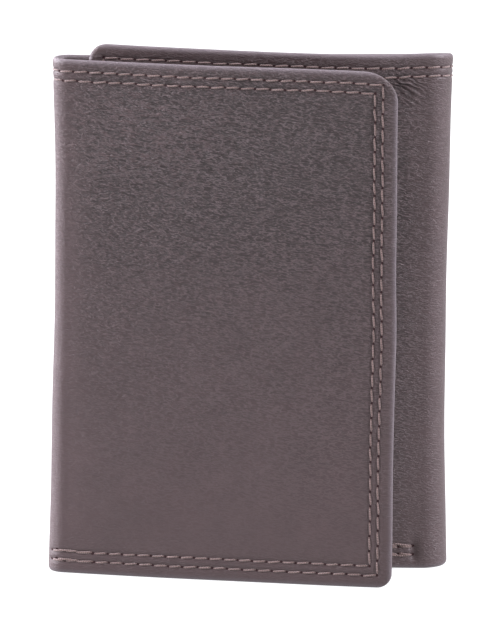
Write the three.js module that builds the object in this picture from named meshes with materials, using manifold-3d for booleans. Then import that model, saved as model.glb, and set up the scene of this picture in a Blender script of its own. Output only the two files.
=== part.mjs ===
// Trifold wallet, standing on its lower edges with the front flap half open.
// Millimetres, +Z up. The rear panel's outer face looks along +Y, the front flap along -Y.
import * as THREE from "three";
import { mergeVertices } from "three/addons/utils/BufferGeometryUtils.js";
import Module from "manifold-3d";

const wasm = await Module();
wasm.setup();

// Driving dimensions
const HEIGHT = 108;
const REAR_LENGTH = 73; // flat part between the two folds
const LEFT_RADIUS = 3.2; // outer radius of the tight fold at the front flap
const LEFT_TURN = 156;
const RIGHT_RADIUS = 5.75; // outer radius of the fuller fold at the inner flap
const RIGHT_TURN = 175.8;
const FRONT_LENGTH = 68.8;
const FRONT_BOW = 10; // degrees that the front flap curves over its length
const INNER_LENGTH = 69.6;
const INNER_BOW = 17.3;
const INNER_SKEW = 2.7; // degrees by which the inner flap's free end rides up
const SEAM_GAP = 0.3; // between leather sections that meet at a crease
const THREAD_GAP = 1.4; // the thread lies proud of the crease, so it stops further away
const FREE_CORNER_TOP = 5;
const FREE_CORNER_BOTTOM = 3.5;
const ARC_STEP = 10; // degrees per facet on the folds
const BOW_FACETS = 8; // along a gently bowed flap
const CORNER_FACETS = 5;
const SAME_POINT = 1e-4; // points nearer than this are one
const OVERSHOOT = 1; // by which a cutting body passes what it cuts

// Layers, as depths from the outer leather surface towards the inside
const SHELL = [0, 1];
const LINING = [1.15, 1.35];
const FOLD_LINING = [1.15, 1.45];
const DIVIDER = [1.6, 1.8];
const REAR_BASE = [1.95, 2.45];
const FLAP_BASE = [1.5, 2];
const WINDOW_FILM = [2.15, 2.3];
const WINDOW_FRAME = [2.45, 2.85];
const THREAD = [-0.4, -0.1];
const POCKET_THICKNESS = 0.3;
const POCKET_PITCH = 0.45; // from one pocket to the next
const LAYER_GAP = 0.15; // between a panel and its first pocket

// How far the inner pieces stop short of the two ends of the panel they lie in
const REAR_LINING_ENDS = [1, 1];
const DIVIDER_ENDS = [2, 0.6];
const REAR_BASE_ENDS = [3, 0.6];
const REAR_POCKET_ENDS = [11, 3];
const FLAP_LINING_ENDS = [0.6, 2];
const FRONT_BASE_ENDS = [10, 2.4];
const WINDOW_FILM_ENDS = [11, 3.4];
const WINDOW_FRAME_ENDS = [13, 2.8];
const INNER_BASE_ENDS = [2, 2.4];
const INNER_POCKET_ENDS = [4, 6.5];

// Heights of the inner pieces
const LINING_INSET = 1.6;
const BASE_INSET = 1.8;
const DIVIDER_DROP = 9; // the bill divider stops this far under the top edge
const POCKET_BOTTOM = 3;
const POCKET_TOPS = [84, 73, 62]; // rear pocket first
const WINDOW_TOP = 96;
const FILM_INSET = 0.6; // at the frame's top and bottom
const WINDOW_OPENING = [12, 84]; // heights of the clear opening
const WINDOW_OPENING_WIDTH = 38;
const THREAD_WIDTH = 0.5;
const THREAD_ROWS = [2.3, 4.15]; // row centres, measured in from the edge
const FREE_EDGE_ROWS = [3, 4.85];

// Runs: stretches of the outer leather surface seen from above.
// side is +1 where the wallet's inside lies left of the walking direction, -1 where it lies right.
const radians = THREE.MathUtils.degToRad;

function at(run, s, depth) {
  const curvature = radians(run.turn) / run.length;
  const bend = curvature * s;
  const flat = curvature === 0;
  const forward = (flat ? s : Math.sin(bend) / curvature) - depth * Math.sin(bend);
  const inward = (flat ? 0 : (1 - Math.cos(bend)) / curvature) + depth * Math.cos(bend);
  const heading = radians(run.heading);
  return new THREE.Vector2(
    run.x + forward * Math.cos(heading) - inward * run.side * Math.sin(heading),
    run.y + forward * Math.sin(heading) + inward * run.side * Math.cos(heading),
  );
}

function fold(x, heading, side, radius, turn) {
  return { x, y: 0, heading, side, turn, length: radius * radians(turn) };
}

function after(run, length, turn) {
  const end = at(run, run.length, 0);
  return { x: end.x, y: end.y, heading: run.heading + run.side * run.turn, side: run.side, length, turn };
}

const REAR = { x: LEFT_RADIUS, y: 0, heading: 0, side: -1, turn: 0, length: REAR_LENGTH };
const LEFT_FOLD = fold(LEFT_RADIUS, 180, 1, LEFT_RADIUS, LEFT_TURN);
const FRONT = after(LEFT_FOLD, FRONT_LENGTH, FRONT_BOW);
const RIGHT_FOLD = fold(LEFT_RADIUS + REAR_LENGTH, 0, -1, RIGHT_RADIUS, RIGHT_TURN);
const INNER = after(RIGHT_FOLD, INNER_LENGTH, INNER_BOW);
const LEFT_END = 0; // x at the outside of each fold
const RIGHT_END = LEFT_RADIUS + REAR_LENGTH + RIGHT_RADIUS;

// Stations along a run, close enough together for its curvature. Only a fold turns past a right angle.
function stations(run, from = 0, to = run.length) {
  const facets = run.turn > 90 ? Math.ceil((run.turn * (to - from)) / run.length / ARC_STEP) : BOW_FACETS;
  const count = run.turn === 0 ? 1 : Math.max(1, facets);
  return Array.from({ length: count + 1 }, (_, i) => ({ run, s: from + ((to - from) * i) / count }));
}

// A sheet that follows stations between two depths, standing between two heights
function sheet(path, [outer, inner], bottom, top) {
  const outside = path.map(({ run, s }) => at(run, s, outer));
  const inside = path.map(({ run, s }) => at(run, s, inner)).reverse();
  const apart = (p, i, all) => i === 0 || p.distanceTo(all[i - 1]) > SAME_POINT;
  const outline = new THREE.Shape([...outside, ...inside].filter(apart));
  const geometry = new THREE.ExtrudeGeometry(outline, { depth: top - bottom, bevelEnabled: false });
  return geometry.translate(0, 0, bottom);
}

// Solids: only to cut and join sheets
function solid(geometry) {
  const plain = geometry.clone();
  plain.deleteAttribute("normal");
  plain.deleteAttribute("uv");
  const merged = mergeVertices(plain);
  const triVerts = new Uint32Array(merged.index.array);
  const vertProperties = new Float32Array(merged.attributes.position.array);
  return new wasm.Manifold(new wasm.Mesh({ numProp: 3, vertProperties, triVerts }));
}

function geometryOf(manifold) {
  const { vertProperties, triVerts } = manifold.getMesh();
  const geometry = new THREE.BufferGeometry();
  geometry.setAttribute("position", new THREE.BufferAttribute(new Float32Array(vertProperties), 3));
  geometry.setIndex(new THREE.BufferAttribute(new Uint32Array(triVerts), 1));
  return geometry;
}

// An outline in X and Z, pushed through the whole wallet along Y
function prism(outline) {
  const depth = 2 * HEIGHT;
  const settings = { depth, bevelEnabled: false, curveSegments: CORNER_FACETS };
  return new THREE.ExtrudeGeometry(outline, settings).translate(0, 0, -depth / 2).rotateX(Math.PI / 2);
}

// Rounds the two free corners at x = edge. The sheet reaches no further than x = far on its other side.
function roundFreeCorners(geometry, edge, far) {
  const inwards = Math.sign(far - edge);
  const outline = new THREE.Shape();
  outline.moveTo(far, 0);
  outline.lineTo(far, HEIGHT);
  outline.lineTo(edge + inwards * FREE_CORNER_TOP, HEIGHT);
  outline.quadraticCurveTo(edge, HEIGHT, edge, HEIGHT - FREE_CORNER_TOP);
  outline.lineTo(edge, FREE_CORNER_BOTTOM);
  outline.quadraticCurveTo(edge, 0, edge + inwards * FREE_CORNER_BOTTOM, 0);
  return geometryOf(solid(geometry).intersect(solid(prism(outline))));
}

const LEATHER = { color: 0x625659, roughness: 0.55, metalness: 0 };
const LINING_CLOTH = { color: 0x4a4043, roughness: 0.85, metalness: 0 };
const POCKET_LEATHER = { color: 0x5c5054, roughness: 0.6, metalness: 0 };
const THREAD_LOOK = { color: 0x8a777c, roughness: 0.7, metalness: 0 };
const CLEAR_FILM = { color: 0xd9dcdc, roughness: 0.15, metalness: 0, transparent: true, opacity: 0.35 };

function piece(name, geometry, look) {
  const mesh = new THREE.Mesh(geometry, new THREE.MeshStandardMaterial(look));
  mesh.name = name;
  return mesh;
}

// Each fold is creased a quarter and three quarters of the way round it. The leather is sectioned there.
function creases(run, gap) {
  const first = run.length / 4;
  const last = run.length - first;
  return { before: first - gap / 2, from: first + gap / 2, to: last - gap / 2, past: last + gap / 2 };
}

function sections(gap) {
  const left = creases(LEFT_FOLD, gap);
  const right = creases(RIGHT_FOLD, gap);
  return {
    rear: [
      ...stations(LEFT_FOLD, 0, left.before).reverse(),
      ...stations(REAR),
      ...stations(RIGHT_FOLD, 0, right.before),
    ],
    leftSpine: stations(LEFT_FOLD, left.from, left.to),
    front: [...stations(LEFT_FOLD, left.past), ...stations(FRONT)],
    rightSpine: stations(RIGHT_FOLD, right.from, right.to),
    inner: [...stations(RIGHT_FOLD, right.past), ...stations(INNER)],
  };
}

const LEATHER_PATHS = sections(SEAM_GAP);
const THREAD_PATHS = sections(THREAD_GAP);

function inset(run, [fromStart, fromEnd]) {
  return stations(run, fromStart, run.length - fromEnd);
}

function pockets(prefix, path, firstDepth) {
  const ranks = ["high", "middle", "low"];
  return POCKET_TOPS.map((top, i) => {
    const depth = firstDepth + i * POCKET_PITCH;
    const geometry = sheet(path, [depth, depth + POCKET_THICKNESS], POCKET_BOTTOM, top);
    return piece(`${prefix}_card_pocket_${ranks[i]}`, geometry, POCKET_LEATHER);
  });
}

// One row of thread across a path, at a height
function threadRow(path, height) {
  return sheet(path, THREAD, height - THREAD_WIDTH / 2, height + THREAD_WIDTH / 2);
}

// One row of thread along the bottom, up the free edge and back along the top
function threadLoop(foldRun, run, fromEdge, fromFreeEdge) {
  const half = THREAD_WIDTH / 2;
  const s = run.length - fromFreeEdge;
  const { past } = creases(foldRun, THREAD_GAP);
  const outer = [...stations(foldRun, past), ...stations(run, 0, s + half)];
  const inner = [...stations(foldRun, past - OVERSHOOT), ...stations(run, 0, s - half)];
  const band = sheet(outer, THREAD, fromEdge - half, HEIGHT - fromEdge + half);
  const depths = [THREAD[0] - OVERSHOOT, THREAD[1] + OVERSHOOT];
  const field = sheet(inner, depths, fromEdge + half, HEIGHT - fromEdge - half);
  return geometryOf(solid(band).subtract(solid(field)));
}

const ROW_NAMES = ["outer", "inner"];

function straightThreads(prefix, path, ends) {
  return ROW_NAMES.flatMap((row, i) =>
    ends.map((end) => {
      const height = end === "top" ? HEIGHT - THREAD_ROWS[i] : THREAD_ROWS[i];
      return piece(`${prefix}_${end}_stitching_${row}`, threadRow(path, height), THREAD_LOOK);
    }),
  );
}

function loopThreads(prefix, foldRun, run) {
  return ROW_NAMES.map((row, i) => {
    const geometry = threadLoop(foldRun, run, THREAD_ROWS[i], FREE_EDGE_ROWS[i]);
    return piece(`${prefix}_stitching_${row}`, geometry, THREAD_LOOK);
  });
}

function rearPanel() {
  const lining = sheet(inset(REAR, REAR_LINING_ENDS), LINING, LINING_INSET, HEIGHT - LINING_INSET);
  const divider = sheet(inset(REAR, DIVIDER_ENDS), DIVIDER, BASE_INSET, HEIGHT - DIVIDER_DROP);
  const base = sheet(inset(REAR, REAR_BASE_ENDS), REAR_BASE, BASE_INSET, HEIGHT - DIVIDER_DROP);
  return [
    piece("rear_shell", sheet(LEATHER_PATHS.rear, SHELL, 0, HEIGHT), LEATHER),
    piece("rear_lining", lining, LINING_CLOTH),
    piece("bill_divider", divider, LINING_CLOTH),
    piece("rear_inner_panel", base, POCKET_LEATHER),
    ...pockets("rear", inset(REAR, REAR_POCKET_ENDS), REAR_BASE[1] + LAYER_GAP),
    ...straightThreads("rear", THREAD_PATHS.rear, ["top", "bottom"]),
  ];
}

function spine(prefix, path, threadPath) {
  const lining = sheet(path, FOLD_LINING, LINING_INSET, HEIGHT - LINING_INSET);
  return [
    piece(`${prefix}_spine_shell`, sheet(path, SHELL, 0, HEIGHT), LEATHER),
    piece(`${prefix}_spine_lining`, lining, LINING_CLOTH),
    ...straightThreads(`${prefix}_spine`, threadPath, ["top"]),
  ];
}

function windowFrame() {
  const path = inset(FRONT, WINDOW_FRAME_ENDS);
  const frame = sheet(path, WINDOW_FRAME, POCKET_BOTTOM, WINDOW_TOP);
  const middle = at(FRONT, (path[0].s + path.at(-1).s) / 2, 0);
  const opening = new THREE.Shape();
  const halfWidth = WINDOW_OPENING_WIDTH / 2;
  opening.moveTo(middle.x - halfWidth, WINDOW_OPENING[0]);
  opening.lineTo(middle.x + halfWidth, WINDOW_OPENING[0]);
  opening.lineTo(middle.x + halfWidth, WINDOW_OPENING[1]);
  opening.lineTo(middle.x - halfWidth, WINDOW_OPENING[1]);
  return geometryOf(solid(frame).subtract(solid(prism(opening))));
}

function frontFlap() {
  const edge = at(FRONT, FRONT.length, 0).x;
  const shell = roundFreeCorners(sheet(LEATHER_PATHS.front, SHELL, 0, HEIGHT), edge, LEFT_END);
  const lining = sheet(inset(FRONT, FLAP_LINING_ENDS), LINING, LINING_INSET, HEIGHT - LINING_INSET);
  const base = sheet(inset(FRONT, FRONT_BASE_ENDS), FLAP_BASE, BASE_INSET, HEIGHT - BASE_INSET);
  const filmPath = inset(FRONT, WINDOW_FILM_ENDS);
  const film = sheet(filmPath, WINDOW_FILM, POCKET_BOTTOM + FILM_INSET, WINDOW_TOP - FILM_INSET);
  return [
    piece("front_shell", shell, LEATHER),
    piece("front_lining", lining, LINING_CLOTH),
    piece("front_inner_panel", base, POCKET_LEATHER),
    piece("id_window_film", film, CLEAR_FILM),
    piece("id_window_frame", windowFrame(), POCKET_LEATHER),
    ...loopThreads("front", LEFT_FOLD, FRONT),
  ];
}

// Lifts every point with its distance from the fold, so that the flap stands askew
function skew(mesh) {
  const root = at(INNER, 0, 0).x;
  const rise = Math.tan(radians(INNER_SKEW));
  const points = mesh.geometry.attributes.position;
  for (let i = 0; i < points.count; i++) {
    points.setZ(i, points.getZ(i) + rise * Math.max(0, root - points.getX(i)));
  }
  return mesh;
}

function innerFlap() {
  const edge = at(INNER, INNER.length, 0).x;
  const shell = roundFreeCorners(sheet(LEATHER_PATHS.inner, SHELL, 0, HEIGHT), edge, RIGHT_END);
  const lining = sheet(inset(INNER, FLAP_LINING_ENDS), LINING, LINING_INSET, HEIGHT - LINING_INSET);
  const base = sheet(inset(INNER, INNER_BASE_ENDS), FLAP_BASE, BASE_INSET, HEIGHT - BASE_INSET);
  const pieces = [
    piece("inner_flap_shell", shell, LEATHER),
    piece("inner_flap_lining", lining, LINING_CLOTH),
    piece("inner_flap_panel", base, POCKET_LEATHER),
    ...pockets("inner_flap", inset(INNER, INNER_POCKET_ENDS), FLAP_BASE[1] + LAYER_GAP),
    ...loopThreads("inner_flap", RIGHT_FOLD, INNER),
  ];
  return pieces.map(skew);
}

const wallet = new THREE.Group();
wallet.add(...rearPanel(), ...frontFlap(), ...innerFlap());
wallet.add(...spine("left", LEATHER_PATHS.leftSpine, THREAD_PATHS.leftSpine));
wallet.add(...spine("right", LEATHER_PATHS.rightSpine, THREAD_PATHS.rightSpine));

// The origin lies under the middle of the wallet
const extent = new THREE.Box3().setFromObject(wallet);
const middle = extent.getCenter(new THREE.Vector3());
wallet.position.set(-middle.x, -middle.y, -extent.min.z);

export default wallet;
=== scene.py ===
"""Trifold wallet in dark brown leather, standing with its front flap half open."""

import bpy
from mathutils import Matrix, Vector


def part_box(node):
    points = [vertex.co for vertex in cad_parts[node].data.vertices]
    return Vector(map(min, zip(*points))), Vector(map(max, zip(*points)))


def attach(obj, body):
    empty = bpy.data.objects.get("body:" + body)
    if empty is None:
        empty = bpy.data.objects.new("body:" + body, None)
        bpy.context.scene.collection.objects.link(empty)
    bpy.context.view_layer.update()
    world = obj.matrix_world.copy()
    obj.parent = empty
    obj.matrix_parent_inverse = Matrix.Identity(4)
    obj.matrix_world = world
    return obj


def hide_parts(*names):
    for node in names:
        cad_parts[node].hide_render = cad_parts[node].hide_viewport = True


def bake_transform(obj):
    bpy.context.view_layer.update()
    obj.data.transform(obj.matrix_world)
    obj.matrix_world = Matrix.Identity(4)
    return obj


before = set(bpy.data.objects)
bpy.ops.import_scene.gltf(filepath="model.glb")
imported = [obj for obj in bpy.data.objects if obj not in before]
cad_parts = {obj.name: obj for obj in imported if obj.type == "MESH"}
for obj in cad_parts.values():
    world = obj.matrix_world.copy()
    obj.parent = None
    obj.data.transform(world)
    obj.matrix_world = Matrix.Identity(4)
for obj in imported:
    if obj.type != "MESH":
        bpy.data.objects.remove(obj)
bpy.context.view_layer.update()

import math

import bpy
import numpy as np
from mathutils import Euler, Matrix, Vector

MM = 0.001

# The leather as one sheet, in millimetres. u runs along it from the front flap's free edge to the
# inner flap's, z is the height, and d is the depth from the outer surface towards the inside.
HEIGHT = 108.0
LEFT_RADIUS, LEFT_TURN = 3.2, 156.0  # each fold's outer radius, and how many degrees it turns
RIGHT_RADIUS, RIGHT_TURN = 5.75, 175.8
REAR_LENGTH = 73.0
FRONT_LENGTH, FRONT_BOW = 68.8, 10.0  # each flap's length, and how many degrees it bows
INNER_LENGTH, INNER_BOW = 69.6, 17.3
INNER_STRETCH = 1.016  # the inner flap is this much longer than the CAD's
INNER_RISE = math.tan(math.radians(2.7))  # the inner flap climbs towards its free end
REAR_DROP = 1.3  # and the rear panel's top edge runs down towards the right fold

EDGE = 1.5  # thickness of the turned edge
TURNED = 8.0  # how far the turned edge reaches in
SKIN = 1.05  # thickness of the leather away from the edge
RIM = 1.0  # how far the rounding of an edge reaches in

LINING_INSET = 6.0  # the lining's edge, under the turned edge
LINING_DEPTHS = (1.12, 1.3)  # its two faces
CLOTH_RIM = 0.08  # the rounding of a cloth's edge
PANEL_INSET = 1.8  # the inner leather's edges, in from the bottom and top
PANEL_EDGE = 2.4  # and from the free edges
FRONT_PANEL_GAP = 10.0  # how far it stops short of the left fold
REAR_PANEL_START = 3.0  # and how far past the fold it starts on the rear panel
REAR_PANEL_TOP = 99.0  # the bill compartment opens here
PANEL_DEPTHS = (1.55, 2.0)  # the inner leather's two faces on the flaps
REAR_PANEL_DEPTHS = (1.95, 2.45)
DIVIDER_DEPTHS = (1.6, 1.8)

POCKET_BOTTOM = 3.0
POCKET_TOPS = (84.0, 73.0, 62.0)  # the high, middle and low card pockets
POCKET_THICKNESS = 0.3
POCKET_PITCH = 0.45  # from one pocket to the next
PADDING = 0.3  # how far a pocket swells in its middle
SEAM_INSET = 1.3  # the inner seams, in from a pocket's sides
TOP_SEAM_INSET = 1.4  # and from its top

FRAME_DEPTHS = (2.45, 2.85)
FILM_DEPTHS = (2.15, 2.3)
FILM_INSET = 0.6  # the film's edges, in from its frame's
WINDOW_TOP = 96.0
WINDOW_WIDTH = 38.0
LOOP_CORNER = 7  # points round each corner of the window's frame
LOOP_SIDES = (40, 24)  # steps along its upright sides, and along its top and bottom

PITCH = 3.1  # stitch length
ROW_TOP = (2.5, 4.4)  # stitch rows, measured in from the top edge
ROW_BOTTOM = (2.7, 4.65)  # from the bottom edge
ROW_FREE = (3.0, 4.65)  # and from the free edges
INNER_ROW_DROP = 0.27  # the inner flap's top rows lie this much lower
BAR_TACK_U = 170.2  # where the inner flap's bottom rows stop
TACK_RISE = 0.2  # how much higher they are there
BACKSTITCH_U = 71.6  # where the front flap's bottom rows stop
WRINKLE_SPACING = 0.95


def end_of(run):
    """Where the leather's outer surface ends along a run."""
    x, y = plan(run, np.array([run["length"]]), np.array([0.0]))
    return float(x[0]), float(y[0])


def plan(run, s, d):
    """Where depth d lies over distance s along a run, seen from above."""
    k = math.radians(run["turn"]) / run["length"]
    bend = k * s
    forward = (np.sin(bend) / k if k else s) - d * np.sin(bend)
    inward = ((1 - np.cos(bend)) / k if k else 0 * s) + d * np.cos(bend)
    ahead_x, ahead_y = math.cos(run["heading"]), math.sin(run["heading"])
    across = inward * run["side"]
    x = run["x"] + forward * ahead_x - across * ahead_y
    return x, run["y"] + forward * ahead_y + across * ahead_x


def fold(x, heading, side, radius, turn):
    """A run round a fold, from the end of the rear panel. side is +1 where it turns left."""
    length = radius * math.radians(turn)
    return dict(x=x, y=0.0, heading=math.radians(heading), side=side, turn=turn, length=length)


def after(run, length, turn):
    """A run that carries on from another one's end."""
    x, y = end_of(run)
    heading = run["heading"] + run["side"] * math.radians(run["turn"])
    return dict(x=x, y=y, heading=heading, side=run["side"], turn=turn, length=length)


REAR = dict(x=LEFT_RADIUS, y=0.0, heading=0.0, side=-1, turn=0.0, length=REAR_LENGTH)
LEFT_FOLD = fold(LEFT_RADIUS, 180, 1, LEFT_RADIUS, LEFT_TURN)
FRONT = after(LEFT_FOLD, FRONT_LENGTH, FRONT_BOW)
RIGHT_FOLD = fold(LEFT_RADIUS + REAR_LENGTH, 0, -1, RIGHT_RADIUS, RIGHT_TURN)
INNER = after(RIGHT_FOLD, INNER_LENGTH, INNER_BOW)

U_FRONT = FRONT_LENGTH  # the front flap ends here
U_REAR = U_FRONT + LEFT_FOLD["length"]
U_RIGHT = U_REAR + REAR_LENGTH
U_INNER = U_RIGHT + RIGHT_FOLD["length"]
U_END = U_INNER + INNER_LENGTH
U_LEFT_MID = (U_FRONT + U_REAR) / 2
U_BACK_MID = (U_REAR + U_RIGHT) / 2
U_RIGHT_MID = (U_RIGHT + U_INNER) / 2
U_FOLD_END = U_INNER + 12  # beyond here the inner flap's leather doesn't bend

ORIGIN_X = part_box("rear_inner_panel")[0][0] / MM - (LEFT_RADIUS + REAR_PANEL_START)
ORIGIN_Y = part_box("rear_shell")[1][1] / MM


def bump(x, centre, width):
    """A smooth hump of height 1, which has fallen to a third at one width from its centre."""
    return np.exp(-(((x - centre) / width) ** 2))


def smooth_step(t):
    """Eases a share from 0 to 1."""
    return t * t * (3 - 2 * t)


def fold_swell(u, z):
    """The folds are narrow at mid height and flare at the ends."""
    q = 2 * z / HEIGHT - 1
    waist = 0.85 * q * q - 0.42
    left = bump(u, U_LEFT_MID, 6.5)
    out = (waist + 0.33) * left + (waist + 0.38) * bump(u, U_RIGHT_MID, 10)
    out -= 0.35 * bump(u, U_FRONT + 1.0, 3.6)  # the left fold eases into the front flap
    return out + 0.2 * left * bump(z, 30.0, 30.0)  # and is a little fuller low down


def swell(u, z):
    """How far the wallet's surface stands outside its plain form."""
    out = fold_swell(u, z)
    out += 1.5 * bump(u, 0.0, 25.0) * bump(z, 0.0, 28.0)  # the front flap's lower free corner
    out += 0.10 * np.sin(u / 5.1 + z / 9.3 + 1.0) * np.sin(z / 13.0)  # slow waves in the leather
    out += 0.12 * np.sin(u / 9.7 - z / 17.0 + 2.1)
    out -= 0.5 * bump(u, BAR_TACK_U - 0.2, 0.9) * bump(z, 3.8, 2.2)  # the bar tack pulls it in
    return out


def tilt(u):
    """The rear panel's top edge runs down towards the right fold, and the fold brings it up again."""
    down = np.clip((u - U_REAR) / REAR_LENGTH, 0, 1)
    up = np.clip((u - U_RIGHT) / RIGHT_FOLD["length"], 0, 1)
    return REAR_DROP * (down - smooth_step(up))


def wander(u, z):
    """How far the front flap's free edge stands out, unevenly over its height."""
    return bump(u, 0.0, 12.0) * (0.05 + 0.28 * bump(z, 54.0, 9.0) + 0.05 * np.sin(z / 5.5))


STRETCHES = [
    (FRONT, -math.inf, U_FRONT, lambda u: U_FRONT - u),
    (LEFT_FOLD, U_FRONT, U_REAR, lambda u: U_REAR - u),
    (REAR, U_REAR, U_RIGHT, lambda u: u - U_REAR),
    (RIGHT_FOLD, U_RIGHT, U_INNER, lambda u: u - U_RIGHT),
    (INNER, U_INNER, math.inf, lambda u: (u - U_INNER) * INNER_STRETCH),
]


def raised(u, z, x):
    """How much higher than z a point of the sheet stands."""
    past = np.where(u > U_RIGHT_MID, INNER["x"] - x, -50.0)  # distance beyond the inner flap's root
    lift = INNER_RISE * (past + np.sqrt(past**2 + 4)) / 2
    lift = lift + (z / HEIGHT) ** 3 * (0.6 * bump(u, U_INNER - 1, 8) - tilt(u))
    return lift - 0.5 * bump(u, 0.0, 6.0) * (z / HEIGHT) ** 12  # the front flap's top corner droops


def place(u, z, d):
    """Points of the sheet in the CAD's frame, in metres."""
    u, z, d = (np.asarray(a, float) for a in np.broadcast_arrays(u, z, d))
    d = d - swell(u, z)
    u = u - wander(u, z)
    x, y = np.zeros_like(u), np.zeros_like(u)
    for run, low, high, along in STRETCHES:
        mask = (u >= low) & (u < high)
        x[mask], y[mask] = plan(run, along(u[mask]), d[mask])
    return np.stack([x + ORIGIN_X, y + ORIGIN_Y, z + raised(u, z, x)], -1) * MM


def margin(u, z, box=(0, U_END, 0, HEIGHT)):
    """How far a point is from the nearest edge of a box, or of the whole sheet."""
    u0, u1, z0, z1 = box
    return np.minimum(np.minimum(u - u0, u1 - u), np.minimum(z - z0, z1 - z))


def row_segments():
    """Every stitch row on the outer leather: (u, z) at its two ends."""
    rows = []
    for top, bottom, free in zip(ROW_TOP, ROW_BOTTOM, ROW_FREE):
        high, far = HEIGHT - top, U_END - free
        low = high - INNER_ROW_DROP
        rows += [
            ((free, high), (U_RIGHT, high)),
            ((U_RIGHT, high), (U_RIGHT_MID, low)),
            ((U_RIGHT_MID, low), (far, low)),
            ((free, high), (free, bottom)),
            ((far, low), (far, bottom)),
            ((free, bottom), (BACKSTITCH_U, bottom)),
            ((U_REAR - 0.5, bottom), (U_RIGHT + 0.5, bottom)),
            ((far, bottom), (BAR_TACK_U, bottom + TACK_RISE)),
        ]
    return rows


def reinforcements():
    """The second passes of thread that end the bottom rows beside the folds."""
    rows = []
    for bottom, shift in zip(ROW_BOTTOM, (0.28, -0.28)):
        tack = bottom + TACK_RISE
        rows += [
            ((BACKSTITCH_U - 9.0, bottom - 0.2), (BACKSTITCH_U - 1.4, bottom + 0.35)),
            ((BAR_TACK_U + 6.2, tack + shift), (BAR_TACK_U, tack + 0.5 * shift)),
            ((BAR_TACK_U + 4.6, tack - shift), (BAR_TACK_U + 0.2, tack)),
        ]
    return rows


def groove(u, z):
    """The dent that the stitch rows pull into the surface."""
    total = np.zeros(np.broadcast(u, z).shape)
    for (ua, za), (ub, zb) in OUTER_ROWS:
        du = u - np.clip(u, *sorted((ua, ub)))
        dz = z - np.clip(z, *sorted((za, zb)))
        total = np.maximum(total, np.exp(-(du**2 + dz**2) / GROOVE_WIDTH**2))
    return GROOVE_DEPTH * total


OUTER_ROWS = row_segments()
GROOVE_DEPTH, GROOVE_WIDTH = 0.2, 0.5
CELLS = 256  # the random heights repeat after this many cells


def field(u, z, size, seed):
    """Smooth random heights from -1 to 1, over cells of a size in millimetres."""
    heights = np.random.default_rng(seed).uniform(-1, 1, (CELLS, CELLS))
    a, b = u / size[0] + 50, z / size[1] + 50
    i, j = np.floor(a).astype(int), np.floor(b).astype(int)
    s, t = smooth_step(a - i), smooth_step(b - j)
    corner = [heights[(i + p) % CELLS, (j + q) % CELLS] for p in (0, 1) for q in (0, 1)]
    return (corner[0] * (1 - t) + corner[1] * t) * (1 - s) + (corner[2] * (1 - t) + corner[3] * t) * s


def grain_and_highlight_strength(u, z):
    """The grain, and the painted highlight in its colour, are boldest high on the front flap, and fade
    towards the bottom and the folds.
    """
    grain = 0.07 + 0.5 * np.clip((z - 12) / 60, 0, 1) + 1.15 * bump(u, 42, 32) * bump(z, 92, 18)
    grain = grain * (1 - 0.55 * np.clip((u - U_REAR) / REAR_LENGTH, 0, 1))
    grain = grain + bump(u, U_INNER + 7, 4.5) * (0.22 + 0.2 * z / HEIGHT)
    grain = grain * np.clip(0.25 + margin(u, z) / 5, 0, 1)
    return grain * (1 - 0.85 * bump(u, U_FRONT + 2, 6.0)) * (1 - 0.65 * bump(u, U_RIGHT_MID + 1, 9))


def creased(heights):
    """Turns smooth heights from -1 to 1 into rounded crests where they pass through zero."""
    return 1 - 2 * np.sqrt(heights**2 + 0.02)


def relief(u, z):
    """Creased grain in the leather, wider than it is high."""
    bend = 0.8 * field(u, z, (3.0, 3.0), 5)
    coarse = creased(field(u + bend, z + 0.5 * bend, (3.2, 1.15), 7))
    fine = creased(field(u - bend, z + 0.4 * bend, (2.6, 0.95), 11))
    return -grain_and_highlight_strength(u, z) * (0.04 * coarse + 0.03 * fine)


def wrinkles(u, z):
    """Diagonal creases on the inner flap, beside the top of its fold."""
    across = (u - U_INNER) * 0.5 + (HEIGHT - z) * 0.85 + 0.6 * field(u, z, (2.0, 1.6), 3)
    patch = bump(u, U_INNER + 5.0, 3.0) * bump(z, HEIGHT - 7.2, 3.0)
    wave = np.sin(2 * math.pi * across / WRINKLE_SPACING)
    return 0.18 * patch * wave * (1 + 0.8 * field(u, z, (1.2, 1.0), 4))


def leather_depth(u, z):
    """The outer surface: stitch grooves, edges that thin out at both ends, creases and grain."""
    free = np.minimum(u, U_END - u)
    thinned = 0.3 * np.clip(1 - free / 3.2, 0, 1) ** 2
    return groove(u, z) + thinned + wrinkles(u, z) + relief(u, z)


# Meshes

def store(mesh, name, values):
    """Keeps a vector at each point of a mesh, for the materials."""
    layer = mesh.attributes.new(name, "FLOAT_VECTOR", "POINT")
    layer.data.foreach_set("vector", np.asarray(values, np.float32).ravel())


def stored(items, key):
    """The vectors that a mesh keeps for its points."""
    values = np.zeros(len(items) * 3, np.float32)
    items.foreach_get(key, values)
    return values.reshape(-1, 3).astype(float)


def add(name, data):
    obj = bpy.data.objects.new(name, data)
    bpy.context.scene.collection.objects.link(obj)
    return obj


def make(name, points, faces, smooth=True):
    mesh = bpy.data.meshes.new(name)
    mesh.from_pydata(np.asarray(points).tolist(), [], [tuple(int(i) for i in f) for f in faces])
    mesh.polygons.foreach_set("use_smooth", [smooth] * len(mesh.polygons))
    mesh.update()
    return add(name, mesh)


def make_sheet(name, points, faces):
    """A mesh from points (u, z, d), which it keeps for the materials."""
    obj = make(name, place(*points.T), faces)
    store(obj.data, "sheet_mm", points)
    return obj


def unit(vectors):
    """One vector, or each row of several, at length 1."""
    return vectors / np.linalg.norm(vectors, axis=-1, keepdims=True)


TINY = 1e-9
SQUARE = (0, 0, 0, 0)  # no rounded corners


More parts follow.
